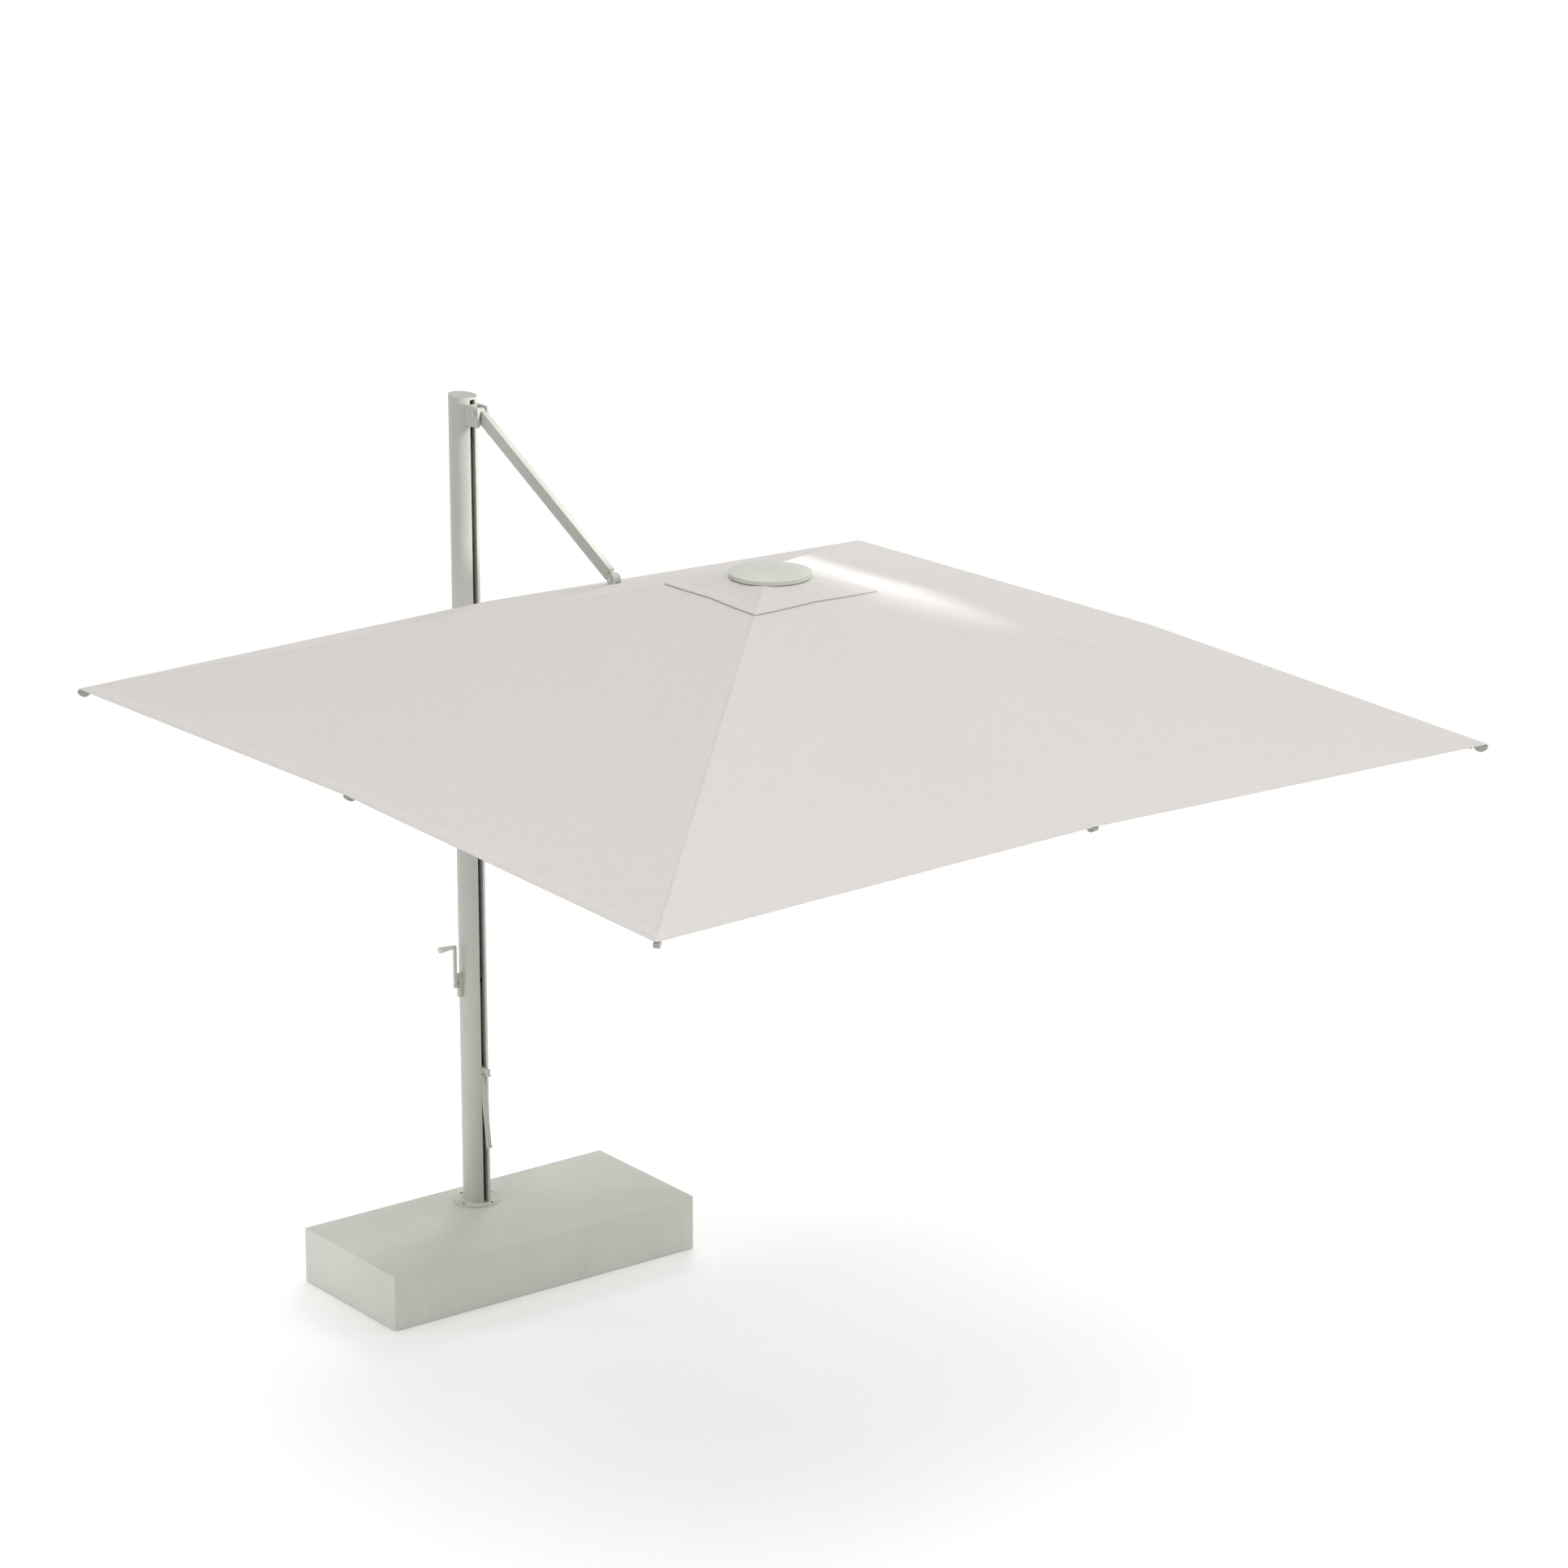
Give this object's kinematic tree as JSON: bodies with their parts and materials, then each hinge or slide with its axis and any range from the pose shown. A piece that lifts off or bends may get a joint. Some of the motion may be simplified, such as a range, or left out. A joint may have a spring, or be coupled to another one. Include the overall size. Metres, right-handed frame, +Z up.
{
  "type": "cantilever parasol",
  "caption": "Square cantilever parasol: ballasted box base, slotted mast with crank and cleat, strut and arm linkage, and a folding ribbed canopy with vent flap and cap.",
  "frame": {"origin": "on the ground, under the axis of the mast", "axes": "+Z up, +X from the mast towards the centre of the canopy, +Y to the left of that; the crank is on the -Y side"},
  "size_m": [3.2678, 3.0156, 2.929],
  "materials": {
    "coated_aluminium": "satin",
    "coated_steel": "satin",
    "zinc_steel": "satin",
    "black_steel": "satin",
    "concrete": "matte",
    "coated_plastic": "satin",
    "tip_plastic": "satin",
    "dark_plastic": "satin",
    "canopy_fabric": "matte",
    "rope": "matte"
  },
  "bodies": {
    "root": {"base_frame": "zinc_steel", "ballast_slabs": "concrete", "base_cover": "coated_steel", "mast_flange": "coated_steel", "flange_bolts": "black_steel", "mast": "coated_aluminium", "mast_cap": "coated_aluminium", "top_bracket": "coated_aluminium", "mast_pins": "zinc_steel", "winch_housing": "coated_aluminium", "winch_bushes": "dark_plastic", "lift_rope": "rope", "rope_cleat": "coated_aluminium"},
    "strut": {"strut_tube": "coated_aluminium", "strut_ends": "coated_aluminium"},
    "arm": {"arm_tube": "coated_aluminium", "arm_ends": "coated_aluminium", "arm_lug": "coated_aluminium", "arm_pins": "zinc_steel"},
    "rear_prop": {"rear_prop": "coated_aluminium"},
    "carriage": {"carriage": "coated_aluminium", "carriage_glides": "dark_plastic"},
    "hub": {"hub": "coated_aluminium", "rib_pins": "zinc_steel", "centre_post": "coated_aluminium", "cap_disc": "coated_plastic", "cap_stud": "zinc_steel", "canopy": "canopy_fabric", "vent_flap": "canopy_fabric"},
    "runner": {"runner": "dark_plastic", "runner_pins": "zinc_steel"},
    "crank": {"crank_shaft": "zinc_steel", "drive_pulley": "dark_plastic", "crank_arm": "coated_aluminium"},
    "grip": {"crank_grip": "coated_plastic"},
    "top_pulley": {"top_pulley": "dark_plastic"},
    "lever": {"tension_lever": "coated_aluminium"},
    "rib_front": {"rib_front": "coated_aluminium", "rib_tip_front": "tip_plastic"},
    "stretcher_front": {"stretcher_front": "coated_aluminium"},
    "rib_front_left": {"rib_front_left": "coated_aluminium", "rib_tip_front_left": "tip_plastic"},
    "stretcher_front_left": {"stretcher_front_left": "coated_aluminium"},
    "rib_left": {"rib_left": "coated_aluminium", "rib_tip_left": "tip_plastic"},
    "stretcher_left": {"stretcher_left": "coated_aluminium"},
    "rib_rear_left": {"rib_rear_left": "coated_aluminium", "rib_tip_rear_left": "tip_plastic"},
    "stretcher_rear_left": {"stretcher_rear_left": "coated_aluminium"},
    "rib_rear": {"rib_rear": "coated_aluminium", "rib_tip_rear": "tip_plastic"},
    "rib_rear_right": {"rib_rear_right": "coated_aluminium", "rib_tip_rear_right": "tip_plastic"},
    "stretcher_rear_right": {"stretcher_rear_right": "coated_aluminium"},
    "rib_right": {"rib_right": "coated_aluminium", "rib_tip_right": "tip_plastic"},
    "stretcher_right": {"stretcher_right": "coated_aluminium"},
    "rib_front_right": {"rib_front_right": "coated_aluminium", "rib_tip_front_right": "tip_plastic"},
    "stretcher_front_right": {"stretcher_front_right": "coated_aluminium"}
  },
  "joints": [
    {"name": "canopy_fold", "type": "hinge", "parent": "root", "child": "strut", "pos_m": [0.097, 0, 2.886], "axis": [0, 1, 0], "range_deg": [0, 47.5], "deforming": ["canopy", "vent_flap"]},
    {"name": "arm_fold", "type": "hinge", "parent": "strut", "child": "arm", "pos_m": [0.82564, 0, 2.49694], "axis": [0, 1, 0], "range_deg": [-95, 0]},
    {"name": "carriage_level", "type": "hinge", "parent": "arm", "child": "carriage", "pos_m": [0.097, 0, 2.10789], "axis": [0, 1, 0], "range_deg": [0, 47.5]},
    {"name": "hub_level", "type": "hinge", "parent": "arm", "child": "hub", "pos_m": [1.57, 0, 2.54], "axis": [0, 1, 0], "range_deg": [0, 47.5]},
    {"name": "rear_prop_level", "type": "hinge", "parent": "arm", "child": "rear_prop", "pos_m": [1.27981, 0, 2.46382], "axis": [0, 1, 0], "range_deg": [0, 47.5]},
    {"name": "rib_front_fold", "type": "hinge", "parent": "hub", "child": "rib_front", "pos_m": [1.69, 0, 2.6625], "axis": [0, 1, 0], "range_deg": [0, 64.54]},
    {"name": "stretcher_front_fold", "type": "hinge", "parent": "rib_front", "child": "stretcher_front", "pos_m": [2.0768, 0, 2.56049], "axis": [0, 1, 0], "range_deg": [-129.08, 0]},
    {"name": "runner_level", "type": "hinge", "parent": "stretcher_front", "child": "runner", "pos_m": [1.69, 0, 2.45847], "axis": [0, 1, 0], "range_deg": [0, 64.54]},
    {"name": "rib_front_left_fold", "type": "hinge", "parent": "hub", "child": "rib_front_left", "pos_m": [1.67243, 0.04243, 2.6625], "axis": [-0.7071, 0.7071, 0], "range_deg": [0, 68.21]},
    {"name": "stretcher_front_left_fold", "type": "hinge", "parent": "rib_front_left", "child": "stretcher_front_left", "pos_m": [1.92903, 0.29903, 2.5889], "axis": [-0.7071, 0.7071, 0], "range_deg": [-136.42, 0]},
    {"name": "rib_left_fold", "type": "hinge", "parent": "hub", "child": "rib_left", "pos_m": [1.63, 0.06, 2.6625], "axis": [-1, 0, 0], "range_deg": [0, 64.54]},
    {"name": "stretcher_left_fold", "type": "hinge", "parent": "rib_left", "child": "stretcher_left", "pos_m": [1.63, 0.4468, 2.56049], "axis": [-1, 0, 0], "range_deg": [-129.08, 0]},
    {"name": "rib_rear_left_fold", "type": "hinge", "parent": "hub", "child": "rib_rear_left", "pos_m": [1.58757, 0.04243, 2.6625], "axis": [-0.7071, -0.7071, 0], "range_deg": [0, 68.21]},
    {"name": "stretcher_rear_left_fold", "type": "hinge", "parent": "rib_rear_left", "child": "stretcher_rear_left", "pos_m": [1.33097, 0.29903, 2.5889], "axis": [-0.7071, -0.7071, 0], "range_deg": [-136.42, 0]},
    {"name": "rib_rear_fold", "type": "hinge", "parent": "hub", "child": "rib_rear", "pos_m": [1.57, 0, 2.6625], "axis": [0, -1, 0], "range_deg": [0, 47.5]},
    {"name": "rib_rear_right_fold", "type": "hinge", "parent": "hub", "child": "rib_rear_right", "pos_m": [1.58757, -0.04243, 2.6625], "axis": [0.7071, -0.7071, 0], "range_deg": [0, 68.21]},
    {"name": "stretcher_rear_right_fold", "type": "hinge", "parent": "rib_rear_right", "child": "stretcher_rear_right", "pos_m": [1.33097, -0.29903, 2.5889], "axis": [0.7071, -0.7071, 0], "range_deg": [-136.42, 0]},
    {"name": "rib_right_fold", "type": "hinge", "parent": "hub", "child": "rib_right", "pos_m": [1.63, -0.06, 2.6625], "axis": [1, 0, 0], "range_deg": [0, 64.54]},
    {"name": "stretcher_right_fold", "type": "hinge", "parent": "rib_right", "child": "stretcher_right", "pos_m": [1.63, -0.4468, 2.56049], "axis": [1, 0, 0], "range_deg": [-129.08, 0]},
    {"name": "rib_front_right_fold", "type": "hinge", "parent": "hub", "child": "rib_front_right", "pos_m": [1.67243, -0.04243, 2.6625], "axis": [0.7071, 0.7071, 0], "range_deg": [0, 68.21]},
    {"name": "stretcher_front_right_fold", "type": "hinge", "parent": "rib_front_right", "child": "stretcher_front_right", "pos_m": [1.92903, -0.29903, 2.5889], "axis": [0.7071, 0.7071, 0], "range_deg": [-136.42, 0]},
    {"name": "crank_turn", "type": "hinge", "parent": "root", "child": "crank", "pos_m": [-0.0085, 0, 0.951], "axis": [0, 1, 0], "range_deg": [0, 1883.86]},
    {"name": "top_pulley_turn", "type": "hinge", "parent": "root", "child": "top_pulley", "pos_m": [-0.0085, 0, 2.79], "axis": [0, 1, 0], "range_deg": [0, 1883.86]},
    {"name": "grip_spin", "type": "hinge", "parent": "crank", "child": "grip", "pos_m": [-0.0085, -0.1, 1.0855], "axis": [0, 1, 0], "continuous": true},
    {"name": "lever_swing", "type": "hinge", "parent": "root", "child": "lever", "pos_m": [0.0465, 0, 0.64], "axis": [0, -1, 0], "range_deg": [0, 80]}
  ],
  "couplings": [
    {"joint": "arm_fold", "follows": "canopy_fold", "ratio": -2},
    {"joint": "carriage_level", "follows": "canopy_fold", "ratio": 1},
    {"joint": "hub_level", "follows": "canopy_fold", "ratio": 1},
    {"joint": "rear_prop_level", "follows": "canopy_fold", "ratio": 1},
    {"joint": "rib_front_fold", "follows": "canopy_fold", "ratio": 1.3587},
    {"joint": "stretcher_front_fold", "follows": "canopy_fold", "ratio": -2.7174},
    {"joint": "runner_level", "follows": "canopy_fold", "ratio": 1.3587},
    {"joint": "rib_front_left_fold", "follows": "canopy_fold", "ratio": 1.436},
    {"joint": "stretcher_front_left_fold", "follows": "canopy_fold", "ratio": -2.8719},
    {"joint": "rib_left_fold", "follows": "canopy_fold", "ratio": 1.3587},
    {"joint": "stretcher_left_fold", "follows": "canopy_fold", "ratio": -2.7174},
    {"joint": "rib_rear_left_fold", "follows": "canopy_fold", "ratio": 1.436},
    {"joint": "stretcher_rear_left_fold", "follows": "canopy_fold", "ratio": -2.8719},
    {"joint": "rib_rear_fold", "follows": "canopy_fold", "ratio": 1},
    {"joint": "rib_rear_right_fold", "follows": "canopy_fold", "ratio": 1.436},
    {"joint": "stretcher_rear_right_fold", "follows": "canopy_fold", "ratio": -2.8719},
    {"joint": "rib_right_fold", "follows": "canopy_fold", "ratio": 1.3587},
    {"joint": "stretcher_right_fold", "follows": "canopy_fold", "ratio": -2.7174},
    {"joint": "rib_front_right_fold", "follows": "canopy_fold", "ratio": 1.436},
    {"joint": "stretcher_front_right_fold", "follows": "canopy_fold", "ratio": -2.8719},
    {"joint": "crank_turn", "follows": "canopy_fold", "ratio": 39.66},
    {"joint": "top_pulley_turn", "follows": "canopy_fold", "ratio": 39.66}
  ]
}
